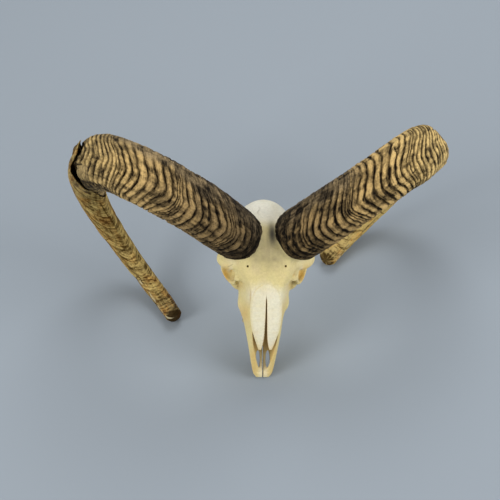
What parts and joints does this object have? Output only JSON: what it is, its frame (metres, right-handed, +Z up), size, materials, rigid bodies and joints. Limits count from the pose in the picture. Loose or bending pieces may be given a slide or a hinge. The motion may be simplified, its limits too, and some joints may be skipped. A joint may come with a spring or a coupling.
{
  "type": "ram skull",
  "caption": "Life-size skull of a ram with both curled horns and no lower jaw, lying on its muzzle and horn curls.",
  "frame": {"origin": "centre of the box round the part, at its base, on the surface it lies on", "axes": "+X across the skull to the picture's right, +Y from the muzzle towards the nape, +Z up; left and right in node names are the picture's"},
  "size_m": [0.5413, 0.3012, 0.3245],
  "materials": {
    "bone": "dry matt bone, ivory to ochre",
    "pale_bone": "dry matt bone, near white",
    "horn": "ridged horn, dark brown to straw"
  },
  "bodies": {
    "root": {"braincase": "bone", "skull_base": "bone", "temple_left": "bone", "temple_right": "bone", "brow": "bone", "cheekbone_left": "bone", "cheekbone_right": "bone", "front_jaw_left": "bone", "front_jaw_right": "bone", "upper_jaw_left": "bone", "upper_jaw_right": "bone", "nose_bone_left": "pale_bone", "nose_bone_right": "pale_bone", "horn_left": "horn", "horn_right": "horn"}
  },
  "joints": []
}
